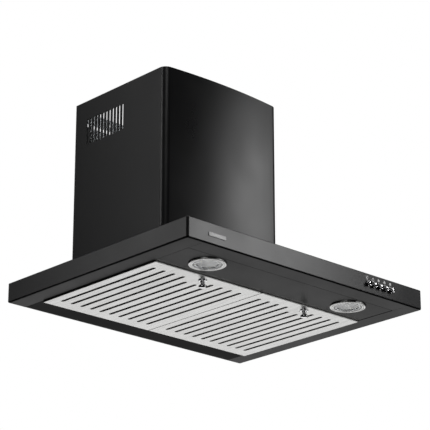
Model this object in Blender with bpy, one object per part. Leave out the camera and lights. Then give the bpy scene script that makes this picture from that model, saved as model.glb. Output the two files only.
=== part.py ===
"""Wall-mounted chimney cooker hood, 600 mm wide, built as separate pieces.

The sizes below are in millimetres, and add_object turns them into metres. +X is to the right as you face
the hood, +Y goes to the wall and +Z is up. The origin is on the wall face of the back plate, midway
between the two keyholes that the hood hangs by.
"""

import math

import bmesh
import bpy
from mathutils import Matrix, Vector

MM = 0.001

# Sheet metal and the clearance kept between pieces that touch
SHEET = 1.0
GAP = 0.4
OVERCUT = 5.0

# Canopy: a shallow tray, open below
WIDTH = 600.0
DEPTH = 500.0
CANOPY_HEIGHT = 39.0
RIM = -300.0
CANOPY_TOP = RIM + CANOPY_HEIGHT
CORNER_RADIUS = 4.5
OPENING_X = 261.2
OPENING_FRONT = -460.0
OPENING_REAR = -55.0
INTAKE_X = (-104.0, 104.0)
INTAKE_Y = (-228.0, -14.0)

# Grease filters, hinged on their rear lower edge and latched in front
FILTER_WIDTH = 260.0
FILTER_FRONT = -372.5
FILTER_REAR = -55.5
FILTER_FACE = RIM - 3.0
FILTER_HEIGHT = 11.0
SLOT_COUNT = 10
SLOT_PITCH = 23.3
SLOT_SHIFT = -3.5
SLOT_WIDTH = 7.2
SLOT_FRONT = -347.5
SLOT_REAR = -83.5
SHORT_SLOT_FRONT = -327.5
TAB_X = 85.0
LATCH_Y = -354.0
LATCH_TRAVEL = 8.0
BOLT_Z = (RIM + 5.5, RIM + 7.0)

# Lamps, set in the panel in front of the filters
LAMP_X = 180.0
LAMP_Y = -420.5
LAMP_RADIUS = 34.5
LAMP_HOLE = 30.6

# Push buttons in the front wall, in one row above the right lamp
BUTTON_X = 180.0
BUTTON_PITCH = 15.75
BUTTON_Z = RIM + 18.0
BUTTON_RADIUS = 5.0
BUTTON_STAND = 8.5

# Badge: a blank plate at the left end of the front
BADGE_X = (-250.5, -210.5)
BADGE_Z = (RIM + 14.5, RIM + 21.5)

# Chimney: an outer cover, and an extension that slides up inside it
CHIMNEY_X = 150.0
CHIMNEY_FRONT = -276.0
CHIMNEY_BOW = 1230.0
CHIMNEY_TOP = RIM + 447.3
CHIMNEY_CORNER = 16.0
CHIMNEY_LIP = 12.0
SLEEVE_STEP = 1.7
EXTENSION_Z = (RIM + 62.0, CHIMNEY_TOP - 2.0)
BRACKET_Z = (RIM + 417.0, RIM + 441.0)
VENT_COUNT = 12
VENT_PITCH = 9.67
VENT_REAR = -37.5
VENT_WIDTH = 4.8
VENT_Z = (RIM + 352.0, RIM + 407.0)

# Blower, in a box that stands on the canopy
PLATE_X = 120.0
PLATE_TOP = RIM + 410.0
KEYHOLE_X = 85.0
BLOWER_X = 115.0
BLOWER_Y = (-240.0, -2.0)
BLOWER_Z = (CANOPY_TOP + GAP, RIM + 262.0)
FLANGE = 12.0
WHEEL_Y = -122.0
WHEEL_Z = RIM + 140.0
WHEEL_RADIUS = 68.0
WHEEL_HALF = 48.0
BLADE_COUNT = 18
SCROLL_HALF = 57.0
SCROLL_RADII = (76.0, 94.0)
SCROLL_WALL = 1.6
INLET_RADIUS = 55.0
COLLAR_Y = -92.0
COLLAR_RADIUS = 74.6
FLAP_OFFSET = 3.2
FLAP_Z = RIM + 284.0
GLAND = (92.0, -205.0)


# ---------------------------------------------------------------- finishes
def finish(name, colour, roughness, metallic, alpha=1.0):
    made = bpy.data.materials.new(name)
    made.use_nodes = True
    shader = made.node_tree.nodes["Principled BSDF"]
    shader.inputs["Base Color"].default_value = (*colour, 1.0)
    shader.inputs["Roughness"].default_value = roughness
    shader.inputs["Metallic"].default_value = metallic
    shader.inputs["Alpha"].default_value = alpha
    made.diffuse_color = (*colour, alpha)
    return made


for old in list(bpy.data.objects):
    bpy.data.objects.remove(old)

BLACK_PAINT = finish("black_paint", (0.022, 0.022, 0.024), 0.32, 0.0)
STAINLESS = finish("stainless", (0.66, 0.66, 0.65), 0.32, 1.0)
CHROME = finish("chrome", (0.80, 0.80, 0.81), 0.08, 1.0)
GALVANISED = finish("galvanised", (0.48, 0.50, 0.51), 0.45, 1.0)
LAMP_RING = finish("lamp_ring", (0.62, 0.62, 0.61), 0.30, 1.0)
CLEAR_LENS = finish("clear_lens", (0.86, 0.87, 0.88), 0.15, 0.0, 0.6)
LED_BOARD = finish("led_board", (0.88, 0.88, 0.84), 0.50, 0.0)
BLACK_PLASTIC = finish("black_plastic", (0.02, 0.02, 0.02), 0.50, 0.0)
WHITE_PLASTIC = finish("white_plastic", (0.78, 0.78, 0.75), 0.45, 0.0)
SPRING_STEEL = finish("spring_steel", (0.45, 0.45, 0.44), 0.30, 1.0)
MOTOR_STEEL = finish("motor_steel", (0.40, 0.40, 0.41), 0.42, 1.0)
BADGE_METAL = finish("badge_metal", (0.55, 0.55, 0.55), 0.28, 1.0)


# ---------------------------------------------------------------- shapes
def add_object(name, bm, look=None):
    bmesh.ops.recalc_face_normals(bm, faces=bm.faces)
    mesh = bpy.data.meshes.new(name)
    bm.to_mesh(mesh)
    bm.free()
    mesh.transform(Matrix.Scale(MM, 4))
    if look:
        mesh.materials.append(look)
    obj = bpy.data.objects.new(name, mesh)
    bpy.context.collection.objects.link(obj)
    return obj


def box(name, x, y, z, look=None):
    """A block between the (low, high) values of each axis."""
    bm = bmesh.new()
    bmesh.ops.create_cube(bm, size=1)
    for vert in bm.verts:
        vert.co = [low + (c + 0.5) * (high - low) for c, (low, high) in zip(vert.co, (x, y, z))]
    return add_object(name, bm, look)


def facing(axis):
    """The turn that lays a shape built along Z along another axis, its x and y staying in axis order."""
    turns = {
        "X": Matrix(((0, 0, 1), (1, 0, 0), (0, 1, 0))),
        "Y": Matrix(((1, 0, 0), (0, 0, 1), (0, 1, 0))),
        "Z": Matrix.Identity(3),
    }
    return turns[axis].to_4x4()


def prism(name, outline, span, axis="Z", look=None):
    """An outline of (first, second) axis values, extruded over the span of the third."""
    bm = bmesh.new()
    low, high = span
    face = bm.faces.new([bm.verts.new((a, b, low)) for a, b in outline])
    top = bmesh.ops.extrude_face_region(bm, geom=[face])["geom"]
    lift = [item for item in top if isinstance(item, bmesh.types.BMVert)]
    bmesh.ops.translate(bm, vec=(0, 0, high - low), verts=lift)
    bmesh.ops.transform(bm, matrix=facing(axis), verts=bm.verts)
    return add_object(name, bm, look)


def turned(name, profile, centre, axis="Z", look=None, segments=24, ring=False):
    """A profile of (radius, height) points spun about an axis; ring closes it clear of the axis."""
    bm = bmesh.new()
    verts = [bm.verts.new((radius, 0, height)) for radius, height in profile]
    pairs = list(zip(verts, verts[1:] + verts[:1] if ring else verts[1:]))
    edges = [bm.edges.new(pair) for pair in pairs]
    bmesh.ops.spin(
        bm, geom=verts + edges, axis=(0, 0, 1), cent=(0, 0, 0), steps=segments, angle=math.tau,
        use_merge=True,
    )
    bmesh.ops.remove_doubles(bm, verts=bm.verts, dist=0.001)
    bmesh.ops.transform(bm, matrix=Matrix.Translation(centre) @ facing(axis), verts=bm.verts)
    obj = add_object(name, bm, look)
    obj.data.shade_smooth()
    obj.data.set_sharp_from_angle(angle=math.radians(35))
    return obj


def disc(name, radius, span, centre, axis="Z", look=None, segments=24):
    """A plain cylinder; span is measured from the centre along the axis."""
    low, high = span
    return turned(name, [(0, low), (radius, low), (radius, high), (0, high)], centre, axis, look, segments)


def tube(name, inner, outer, span, centre, axis="Z", look=None, segments=24):
    low, high = span
    corners = [(inner, low), (outer, low), (outer, high), (inner, high)]
    return turned(name, corners, centre, axis, look, segments, ring=True)


def together(name, pieces):
    """One mesh of several separate shapes, to cut or join them all at once."""
    bm = bmesh.new()
    for piece in pieces:
        bm.from_mesh(piece.data)
        bpy.data.objects.remove(piece)
    mesh = bpy.data.meshes.new(name)
    bm.to_mesh(mesh)
    bm.free()
    obj = bpy.data.objects.new(name, mesh)
    bpy.context.collection.objects.link(obj)
    return obj


def combine(target, helper, operation):
    helper.hide_render = True
    helper.display_type = "WIRE"
    step = target.modifiers.new(helper.name, "BOOLEAN")
    step.operation = operation
    step.object = helper
    step.solver = "EXACT"


def cut(target, helper):
    combine(target, helper, "DIFFERENCE")


def join(target, helper):
    combine(target, helper, "UNION")


def arc(centre, radius, start, end, steps):
    """Points on an arc between two angles in degrees."""
    angles = [math.radians(start + (end - start) * step / steps) for step in range(steps + 1)]
    return [(centre[0] + radius * math.cos(a), centre[1] + radius * math.sin(a)) for a in angles]


def plan(half_width, front, rear, radius, steps=4):
    """A plan outline with square rear corners and rounded front ones."""
    left = arc((-half_width + radius, front + radius), radius, 180, 270, steps)
    right = arc((half_width - radius, front + radius), radius, 270, 360, steps)
    return left + right + [(half_width, rear), (-half_width, rear)]


def bowed_plan(inset, steps=6):
    """The front of the chimney's outline, inset from its face: a shallow arc between rounded corners."""
    half, front = CHIMNEY_X - inset, CHIMNEY_FRONT + inset
    bow, corner = CHIMNEY_BOW - inset, CHIMNEY_CORNER - inset
    lean = math.degrees(math.asin((half - corner) / (bow - corner)))
    y = front + bow - (bow - corner) * math.cos(math.radians(lean))
    left = arc((-half + corner, y), corner, 180, 270 - lean, steps)
    middle = arc((0, front + bow), bow, 270 - lean, 270 + lean, steps)
    right = arc((half - corner, y), corner, 270 + lean, 360, steps)
    return left + middle[1:-1] + right


def round_slot(x, width, front, rear, steps=4):
    """A slot outline along Y with round ends."""
    radius = width / 2
    return arc((x, front + radius), radius, 180, 360, steps) + arc((x, rear - radius), radius, 0, 180, steps)


def pivot(name, place, pieces):
    """An empty on a joint's axis, which carries the pieces that move together."""
    empty = bpy.data.objects.new(name, None)
    empty.location = Vector(place) * MM
    empty.empty_display_size = 0.02
    bpy.context.collection.objects.link(empty)
    for piece in pieces:
        piece.parent = empty
        piece.matrix_parent_inverse = Matrix.Translation(-empty.location)


# ---------------------------------------------------------------- canopy
def button_places():
    return [BUTTON_X + BUTTON_PITCH * step for step in (-2, -1, 0, 1, 2)]


def blower_screw_places():
    across, front, rear = BLOWER_X + FLANGE / 2, BLOWER_Y[0] + 30, BLOWER_Y[1] - 40
    return [(-across, front), (across, front), (-across, rear), (across, rear)]


def canopy():
    outline = plan(WIDTH / 2, -DEPTH, 0, CORNER_RADIUS)
    shell = prism("canopy_shell", outline, (RIM, CANOPY_TOP), "Z", BLACK_PAINT)
    inside = plan(WIDTH / 2 - SHEET, -DEPTH + SHEET, -SHEET, CORNER_RADIUS - SHEET)
    cut(shell, prism("canopy_inside", inside, (RIM + SHEET, CANOPY_TOP - SHEET)))
    opening_y = (OPENING_FRONT, OPENING_REAR)
    opening = box("canopy_opening", (-OPENING_X, OPENING_X), opening_y, (RIM - OVERCUT, RIM + OVERCUT))
    intake = box("canopy_intake", INTAKE_X, INTAKE_Y, (CANOPY_TOP - OVERCUT, CANOPY_TOP + OVERCUT))
    button_holes = [
        disc(f"button_hole_{index}", BUTTON_RADIUS + GAP, (-5, 5), (x, -DEPTH, BUTTON_Z), "Y", segments=16)
        for index, x in enumerate(button_places())
    ]
    screw_holes = [
        disc(f"canopy_screw_hole_{index}", 2.6, (-5, 5), (x, y, CANOPY_TOP), segments=8)
        for index, (x, y) in enumerate(blower_screw_places())
    ]
    cut(shell, together("canopy_holes", [opening, intake] + button_holes + screw_holes))


def rear_rail():
    """An angle above the rear rim that stiffens it and stops the filters' rear tabs."""
    low, high = RIM + SHEET + GAP, RIM + 13
    front, rear = -44, -20
    outline = [
        (front, low), (rear, low), (rear, low + SHEET),
        (front + SHEET, low + SHEET), (front + SHEET, high), (front, high),
    ]
    prism("filter_rear_rail", outline, (-255, 255), "X", BLACK_PAINT)


def light_panel():
    """A pan with turned-up edges; the low rear edge is what the filter latches hold on to."""
    clearance, edge, rear_edge = 0.6, 7, 4
    x, y = OPENING_X - clearance, (OPENING_FRONT + clearance, FILTER_FRONT - SHEET)
    low = RIM + GAP
    panel = box("light_panel", (-x, x), y, (low, low + edge), BLACK_PAINT)
    inside_x, inside_y = (-x + SHEET, x - SHEET), (y[0] + SHEET, y[1] - SHEET)
    cut(panel, box("light_panel_inside", inside_x, inside_y, (low + SHEET, low + edge + OVERCUT)))
    drop_x, drop_y = (-x - OVERCUT, x + OVERCUT), (y[1] - 2 * SHEET, y[1] + OVERCUT)
    cut(panel, box("light_panel_rear_drop", drop_x, drop_y, (low + rear_edge, low + edge + OVERCUT)))
    holes = [
        disc(f"lamp_hole_{side}", LAMP_HOLE, (-5, 5), (side * LAMP_X, LAMP_Y, RIM), segments=28)
        for side in (-1, 1)
    ]
    cut(panel, together("lamp_holes", holes))


def badge():
    """A small blank plate stuck to the front."""
    face, thickness = -DEPTH - GAP, 0.8
    box("badge_plate", BADGE_X, (face - thickness, face), BADGE_Z, BADGE_METAL)


# ---------------------------------------------------------------- grease filters
def slot_places(centre):
    """Where the slots lie across a filter: their field is a little to the left of its middle."""
    return [centre + SLOT_SHIFT + SLOT_PITCH * (index - (SLOT_COUNT - 1) / 2) for index in range(SLOT_COUNT)]


def filter_frame(name, centre):
    """The lower plate, folded up into a tray, with two rear tabs that hook over the rim."""
    half = FILTER_WIDTH / 2
    frame = box(
        f"{name}_frame", (centre - half, centre + half), (FILTER_FRONT, FILTER_REAR),
        (FILTER_FACE, FILTER_FACE + FILTER_HEIGHT), STAINLESS,
    )
    tab_half, tab_y, tab_z = 10, (FILTER_REAR - 3, FILTER_REAR + 10), (RIM + 1.5, RIM + 2.5)
    tabs = [
        box(f"{name}_tab_{side}", (x - tab_half, x + tab_half), tab_y, tab_z)
        for side, x in ((-1, centre - TAB_X), (1, centre + TAB_X))
    ]
    join(frame, together(f"{name}_tabs", tabs))
    cut(frame, box(
        f"{name}_inside", (centre - half + SHEET, centre + half - SHEET),
        (FILTER_FRONT + SHEET, FILTER_REAR - SHEET), (FILTER_FACE + SHEET, FILTER_FACE + FILTER_HEIGHT + 5),
    ))
    slots = []
    for index, x in enumerate(slot_places(centre)):
        middle = index in (SLOT_COUNT // 2 - 1, SLOT_COUNT // 2)
        outline = round_slot(x, SLOT_WIDTH, SHORT_SLOT_FRONT if middle else SLOT_FRONT, SLOT_REAR)
        slots.append(prism(f"{name}_slot_{index}", outline, (FILTER_FACE - 5, FILTER_FACE + 3)))
    slots.append(prism(
        f"{name}_stem_slot", round_slot(centre, 7.0, LATCH_Y - 3.5, LATCH_Y + 3.5 + LATCH_TRAVEL),
        (FILTER_FACE - 5, FILTER_FACE + 3),
    ))
    slots.append(box(
        f"{name}_bolt_slot", (centre - 7.6, centre + 7.6), (FILTER_FRONT - 5, FILTER_FRONT + 3),
        (BOLT_Z[0] - 0.5, BOLT_Z[1] + 5),
    ))
    cut(frame, together(f"{name}_slots", slots))
    return frame


def filter_baffles(name, centre):
    """The upper plate: a cap over each slot, with its edges turned down, and a gap between caps."""
    half, front, rear = FILTER_WIDTH / 2 - 2.0, FILTER_FRONT + 2.0, FILTER_REAR - 2.0
    top = RIM + 7.0
    sheet_z = (top - SHEET, top)
    baffles = box(f"{name}_baffles", (centre - half, centre + half), (front, rear), sheet_z, STAINLESS)
    places = slot_places(centre)
    cap_half = SLOT_WIDTH / 2 + 4.0
    lips = [
        box(f"{name}_lip_{index}_{side}", sorted((x + side * cap_half, x + side * (cap_half - SHEET))),
            (front + 10, rear - 10), (top - 5, top - SHEET / 2))
        for index, x in enumerate(places)
        for side in (-1, 1)
    ]
    join(baffles, together(f"{name}_lips", lips))
    gap_y = (front + 12, rear - 12)
    gaps = [
        box(f"{name}_gap_{index}", (x + cap_half, x + SLOT_PITCH - cap_half), gap_y, (top - 3, top + 3))
        for index, x in enumerate(places[:-1])
    ]
    cut(baffles, together(f"{name}_gaps", gaps))
    latch_room_y = (front - OVERCUT, SHORT_SLOT_FRONT + 8)
    cut(baffles, box(f"{name}_latch_room", (centre - 12, centre + 12), latch_room_y, (top - 9, top + 3)))
    return baffles


def latch(name, centre):
    """A sprung bolt in a guide above the plate, worked by a round knob that hangs below it."""
    face = FILTER_FACE - GAP
    knob_profile = [
        (0, -14.5), (4.6, -14.5), (6.8, -13.6), (7.6, -11.8), (7.6, -10.6), (6.6, -8.8), (4.0, -7.4),
        (3.6, -4.2), (4.6, -2.4), (7.6, -1.4), (8.0, 0), (2.6, 0), (2.6, 8.1), (0, 8.1),
    ]
    knob = turned(f"{name}_knob", knob_profile, (centre, LATCH_Y, face), "Z", CHROME, 16)
    rear = LATCH_Y + 16
    bolt = box(f"{name}_bolt", (centre - 7, centre + 7), (FILTER_FRONT, rear), BOLT_Z, SPRING_STEEL)
    foot_z = (BOLT_Z[0] - 3, BOLT_Z[0] + 0.5)
    join(bolt, box(f"{name}_bolt_foot", (centre - 7, centre + 7), (rear - 1.5, rear), foot_z))
    wall = rear + 14
    guide_x = (centre - 9, centre + 9)
    guide_z = (FILTER_FACE + SHEET + GAP, BOLT_Z[1] + 1.8)
    guide = box(f"{name}_guide", guide_x, (LATCH_Y - 10, wall), guide_z, GALVANISED)
    cut(guide, box(
        f"{name}_guide_inside", (guide_x[0] + SHEET, guide_x[1] - SHEET), (LATCH_Y - 15, wall - SHEET),
        (FILTER_FACE - 5, BOLT_Z[1] + 0.8),
    ))
    spring = latch_spring(f"{name}_spring", (centre, BOLT_Z[0] - 0.5), (rear + GAP, wall - SHEET - GAP))
    return knob, bolt, guide, spring


def latch_spring(name, place, span, radius=1.9, wire=0.3, turns=5, steps=8):
    """A compression spring along Y: one closed wire, swept round a helix."""
    x, z = place
    start, end = span[0] + wire, span[1] - wire
    bm = bmesh.new()
    rings = []
    for step in range(turns * steps + 1):
        angle = math.tau * step / steps
        y = start + (end - start) * step / (turns * steps)
        out = Vector((math.cos(angle), 0, math.sin(angle)))
        middle = Vector((x, y, z)) + out * radius
        corners = [(1, 0), (0, 1), (-1, 0), (0, -1)]
        rings.append([bm.verts.new(middle + wire * (a * out + b * Vector((0, 1, 0)))) for a, b in corners])
    for first, second in zip(rings, rings[1:]):
        for index in range(4):
            after = (index + 1) % 4
            bm.faces.new((first[index], first[after], second[after], second[index]))
    bm.faces.new(rings[0])
    bm.faces.new(rings[-1])
    return add_object(name, bm, SPRING_STEEL)


def grease_filter(side, label):
    centre = side * (FILTER_WIDTH / 2 + 0.3)
    name = f"filter_{label}"
    frame = filter_frame(name, centre)
    baffles = filter_baffles(name, centre)
    knob, bolt, guide, spring = latch(f"latch_{label}", centre)
    pivot(f"{name}_pivot", (centre, FILTER_REAR, FILTER_FACE), [frame, baffles, guide, spring])
    pivot(f"latch_{label}_pivot", (centre, LATCH_Y, FILTER_FACE), [knob, bolt])


# ---------------------------------------------------------------- lamps and buttons
def lamp(side, label):
    """A recessed LED lamp: ring, lens, board and can, held up by two spring clips."""
    x, name = side * LAMP_X, f"lamp_{label}"
    place = (x, LAMP_Y, RIM)
    ring_profile = [
        (26.2, -1.0), (27.4, -2.4), (33.4, -2.4), (LAMP_RADIUS, -1.4), (LAMP_RADIUS, 0.1),
        (LAMP_HOLE - 0.5, 0.1), (LAMP_HOLE - 0.5, 14), (LAMP_HOLE - 1.7, 14), (LAMP_HOLE - 1.7, 1.0),
        (26.2, 1.0),
    ]
    turned(f"{name}_ring", ring_profile, place, "Z", LAMP_RING, 28, ring=True)
    lens_profile = [(0, -0.6), (22.5, -0.6), (23.2, -1.6), (25.2, -1.6), (25.8, -0.8), (25.8, 1.6), (0, 1.6)]
    turned(f"{name}_lens", lens_profile, place, "Z", CLEAR_LENS, 28)
    disc(f"{name}_led_board", 26.0, (3.6, 5.2), place, "Z", LED_BOARD, 20)
    can_profile = [(0, 5.6), (27.8, 5.6), (27.8, 15), (24, 21), (10, 24), (0, 24)]
    turned(f"{name}_can", can_profile, place, "Z", BLACK_PLASTIC, 20)
    clip_profile = [
        (0, 13), (0.7, 13), (12, 3.4), (15, 4.2), (14.7, 5.0), (12.1, 4.4), (0.9, 14), (0, 14),
    ]
    for hand, end in ((-1, "a"), (1, "b")):
        outline = [(x + hand * (LAMP_HOLE + out), RIM + up) for out, up in clip_profile]
        prism(f"{name}_clip_{end}", outline, (LAMP_Y - 4, LAMP_Y + 4), "Y", SPRING_STEEL)


def controls():
    """Five push buttons whose stems slide in one switch bank behind the front wall."""
    bank_face, bank_back = -DEPTH + 7.5, -DEPTH + 22
    stem_end = -DEPTH + 14
    bank_half, bank_height = 2.5 * BUTTON_PITCH, 18
    bank_x = (BUTTON_X - bank_half, BUTTON_X + bank_half)
    bank_z = (BUTTON_Z - bank_height / 2, BUTTON_Z + bank_height / 2)
    bank = box("switch_bank", bank_x, (bank_face, bank_back), bank_z, BLACK_PLASTIC)
    bores = [
        disc(f"stem_bore_{index}", 3.4, (-3, 12), (x, bank_face, BUTTON_Z), "Y", segments=16)
        for index, x in enumerate(button_places())
    ]
    cut(bank, together("stem_bores", bores))
    front = -DEPTH - BUTTON_STAND
    cap_profile = [
        (0, front), (3.6, front), (4.6, front + 0.5), (BUTTON_RADIUS, front + 1.6),
        (BUTTON_RADIUS, -DEPTH + 2.5), (3.0, -DEPTH + 2.5), (3.0, stem_end), (0, stem_end),
    ]
    for label, x in zip(("lamp", "off", "low", "medium", "high"), button_places()):
        cap = turned(f"button_{label}", cap_profile, (x, 0, BUTTON_Z), "Y", CHROME, 16)
        pivot(f"button_{label}_pivot", (x, -DEPTH, BUTTON_Z), [cap])


# ---------------------------------------------------------------- chimney
def sleeve(name, inset, z, look):
    """A U-shaped cover, open above and below, with narrow lips along the wall."""
    half, rear = CHIMNEY_X - inset, -inset
    cover = prism(name, bowed_plan(inset) + [(half, rear), (-half, rear)], z, "Z", look)
    inner = half - SHEET
    inside = bowed_plan(inset + SHEET) + [(inner, rear - SHEET), (-inner, rear - SHEET)]
    cut(cover, prism(f"{name}_inside", inside, (z[0] - OVERCUT, z[1] + OVERCUT)))
    gap_x = half - CHIMNEY_LIP
    gap_y = (rear - OVERCUT, rear + OVERCUT)
    cut(cover, box(f"{name}_back", (-gap_x, gap_x), gap_y, (z[0] - OVERCUT, z[1] + OVERCUT)))
    vents = []
    for index in range(VENT_COUNT):
        middle = VENT_REAR - index * VENT_PITCH
        y = (middle - VENT_WIDTH / 2, middle + VENT_WIDTH / 2)
        for side in (-1, 1):
            x = sorted((side * (half - OVERCUT), side * (half + OVERCUT)))
            vents.append(box(f"{name}_vent_{index}_{side}", x, y, VENT_Z))
    cut(cover, together(f"{name}_vents", vents))
    return cover


def wall_bracket():
    """A strip flat on the wall, joggled round the chimney's lips to hold the extension's sides."""
    half = CHIMNEY_X - SLEEVE_STEP - SHEET - GAP
    lip = CHIMNEY_X - CHIMNEY_LIP - SLEEVE_STEP - 1.5
    step_y, arm_y = -4.0, -45.0
    rear = [(half, arm_y), (half, step_y), (lip, step_y), (lip, 0)]
    front = [
        (lip - SHEET, -SHEET), (lip - SHEET, step_y - SHEET),
        (half - SHEET, step_y - SHEET), (half - SHEET, arm_y),
    ]
    outline = [(-a, b) for a, b in rear] + rear[::-1] + front[::-1] + [(-a, b) for a, b in front]
    return prism("chimney_wall_bracket", outline, BRACKET_Z, "Z", GALVANISED)


def chimney():
    """The fixed cover, and the extension that carries its wall bracket up inside it."""
    sleeve("chimney_cover", 0, (CANOPY_TOP + GAP, CHIMNEY_TOP), BLACK_PAINT)
    extension = sleeve("chimney_extension", SLEEVE_STEP, EXTENSION_Z, BLACK_PAINT)
    bracket = wall_bracket()
    holes = [
        disc(f"bracket_hole_{side}", 3.0, (-4, 4), (side * 60, 0, BRACKET_Z[0] + 12), "Y", segments=10)
        for side in (-1, 1)
    ]
    cut(bracket, together("bracket_holes", holes))
    pivot("chimney_extension_pivot", (0, 0, EXTENSION_Z[0]), [extension, bracket])


# ---------------------------------------------------------------- blower
def back_plate():
    """The plate that hangs on the wall, with its edges turned forward and two keyholes."""
    edge = 12
    plate = box("back_plate", (-PLATE_X, PLATE_X), (-edge, 0), (CANOPY_TOP + GAP, PLATE_TOP), GALVANISED)
    room_x, room_z = (-PLATE_X + SHEET, PLATE_X - SHEET), (CANOPY_TOP - OVERCUT, PLATE_TOP + OVERCUT)
    cut(plate, box("back_plate_room", room_x, (-edge - OVERCUT, -SHEET), room_z))
    head_z, head_radius, shank_z, shank_radius = -6, 5.0, 8, 2.6
    keyholes = []
    for side in (-1, 1):
        x = side * KEYHOLE_X
        keyholes.append(prism(
            f"keyhole_{side}",
            arc((x, head_z), head_radius, 120, 420, 12) + arc((x, shank_z), shank_radius, 0, 180, 6),
            (-OVERCUT, OVERCUT), "Y",
        ))
    cut(plate, together("keyholes", keyholes))


def blower_box():
    """A box open to the canopy below, with a flange screwed to it and a round outlet in the top."""
    low, high = BLOWER_Z
    front, rear = BLOWER_Y
    casing = box("blower_box", (-BLOWER_X, BLOWER_X), BLOWER_Y, BLOWER_Z, GALVANISED)
    foot_x = BLOWER_X + FLANGE
    join(casing, box("blower_foot", (-foot_x, foot_x), (front - FLANGE, rear - FLANGE), (low, low + SHEET)))
    inside_x, inside_y = BLOWER_X - SHEET, (front + SHEET, rear - SHEET)
    cut(casing, box("blower_inside", (-inside_x, inside_x), inside_y, (low - OVERCUT, high - SHEET)))
    holes = [
        disc(f"blower_screw_hole_{index}", 2.6, (-3, 3), (x, y_screw, low), segments=8)
        for index, (x, y_screw) in enumerate(blower_screw_places())
    ]
    holes.append(disc("blower_outlet", COLLAR_RADIUS - 1.6, (-5, 5), (0, COLLAR_Y, high), segments=24))
    holes.append(disc("gland_hole", 8.4, (-5, 5), (*GLAND, high), segments=16))
    cut(casing, together("blower_holes", holes))
    for index, (x, y_screw) in enumerate(blower_screw_places()):
        head = low + SHEET + GAP
        profile = [(0, -7), (1.9, -7), (1.9, 0), (4.2, 0), (4.2, 1.4), (2.8, 2.6), (0, 2.6)]
        turned(f"blower_screw_{index + 1}", profile, (x, y_screw, head), "Z", SPRING_STEEL, 10)


def volute(inset, top):
    """A side view of the scroll: a spiral from the tongue round to the rear, then straight up."""
    centre = (WHEEL_Y, WHEEL_Z)
    (radius_start, radius_end), (start, end), steps = SCROLL_RADII, (75, 360), 24
    spiral = []
    for step in range(steps + 1):
        angle = math.radians(start + (end - start) * step / steps)
        radius = radius_start + (radius_end - radius_start) * step / steps - inset
        spiral.append((centre[0] + radius * math.cos(angle), centre[1] + radius * math.sin(angle)))
    return spiral + [(spiral[-1][0], top), (spiral[0][0], top)]


def blower():
    """A double-inlet fan: a scroll, an inlet ring, a bladed wheel on its shaft, and a motor on a bracket."""
    top = BLOWER_Z[1] - SHEET - GAP
    scroll = prism("scroll_housing", volute(0, top), (-SCROLL_HALF, SCROLL_HALF), "X", BLACK_PLASTIC)
    inner = SCROLL_HALF - SCROLL_WALL
    cut(scroll, prism("scroll_inside", volute(SCROLL_WALL, top + OVERCUT), (-inner, inner), "X"))
    axle = (0, WHEEL_Y, WHEEL_Z)
    bore = (-SCROLL_HALF - OVERCUT, SCROLL_HALF + OVERCUT)
    cut(scroll, disc("scroll_inlets", INLET_RADIUS, bore, axle, "X"))
    inlet_profile = [
        (50, -62), (58, -62), (62, -60), (62, -57.4), (60.6, -57.4), (60.6, -59.4),
        (53, -60.4), (53, -52), (51.6, -52),
    ]
    turned("inlet_ring", inlet_profile, axle, "X", BLACK_PLASTIC, 24, ring=True)

    wheel_profile = [
        (4.4, -9), (9, -9), (10, -1.2), (WHEEL_RADIUS, -1.2), (WHEEL_RADIUS, 1.2), (10, 1.2), (9, 5),
        (4.4, 5),
    ]
    wheel = turned("impeller", wheel_profile, axle, "X", BLACK_PLASTIC, 24, ring=True)
    rims = []
    for side in (-1, 1):
        x = sorted((side * WHEEL_HALF, side * (WHEEL_HALF - 2.4)))
        rims.append(tube(f"wheel_rim_{side}", WHEEL_RADIUS - 7, WHEEL_RADIUS + 0.4, x, axle, "X"))
    join(wheel, together("wheel_rims", rims))
    blades = []
    for index in range(BLADE_COUNT):
        blade = box(f"blade_{index}", (-WHEEL_HALF + 1.2, WHEEL_HALF - 1.2), (-0.7, 0.7), (-5.5, 5.5))
        turn = Matrix.Rotation(math.tau * (index + 0.5) / BLADE_COUNT, 4, "X")
        lean = Matrix.Rotation(math.radians(28), 4, "X")
        out = Matrix.Translation((0, 0, (WHEEL_RADIUS - 6.0) * MM))
        blade.data.transform(Matrix.Translation(Vector(axle) * MM) @ turn @ out @ lean)
        blades.append(blade)
    join(wheel, together("blades", blades))

    shaft = disc("motor_shaft", 4.0, (-14, 16), axle, "X", SPRING_STEEL, 16)
    motor_profile = [
        (0, 66), (20, 66), (33, 61), (40, 55), (40, 14), (33, 8.5), (14, 7), (4.4, 7), (4.4, 20), (0, 20),
    ]
    turned("motor", motor_profile, axle, "X", MOTOR_STEEL, 24)
    bracket_x, arm_half, arm_reach, arm_count = (57.5, 60), 6, (43, 70), 3
    bracket = tube("motor_bracket", 40.5, 46, bracket_x, axle, "X", GALVANISED)
    arms = []
    for index in range(arm_count):
        arm = box(f"arm_{index}", bracket_x, (-arm_half, arm_half), arm_reach)
        turn = Matrix.Rotation(math.tau * index / arm_count, 4, "X")
        arm.data.transform(Matrix.Translation(Vector(axle) * MM) @ turn)
        arms.append(arm)
    join(bracket, together("arms", arms))
    pivot("impeller_pivot", axle, [wheel, shaft])


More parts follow.
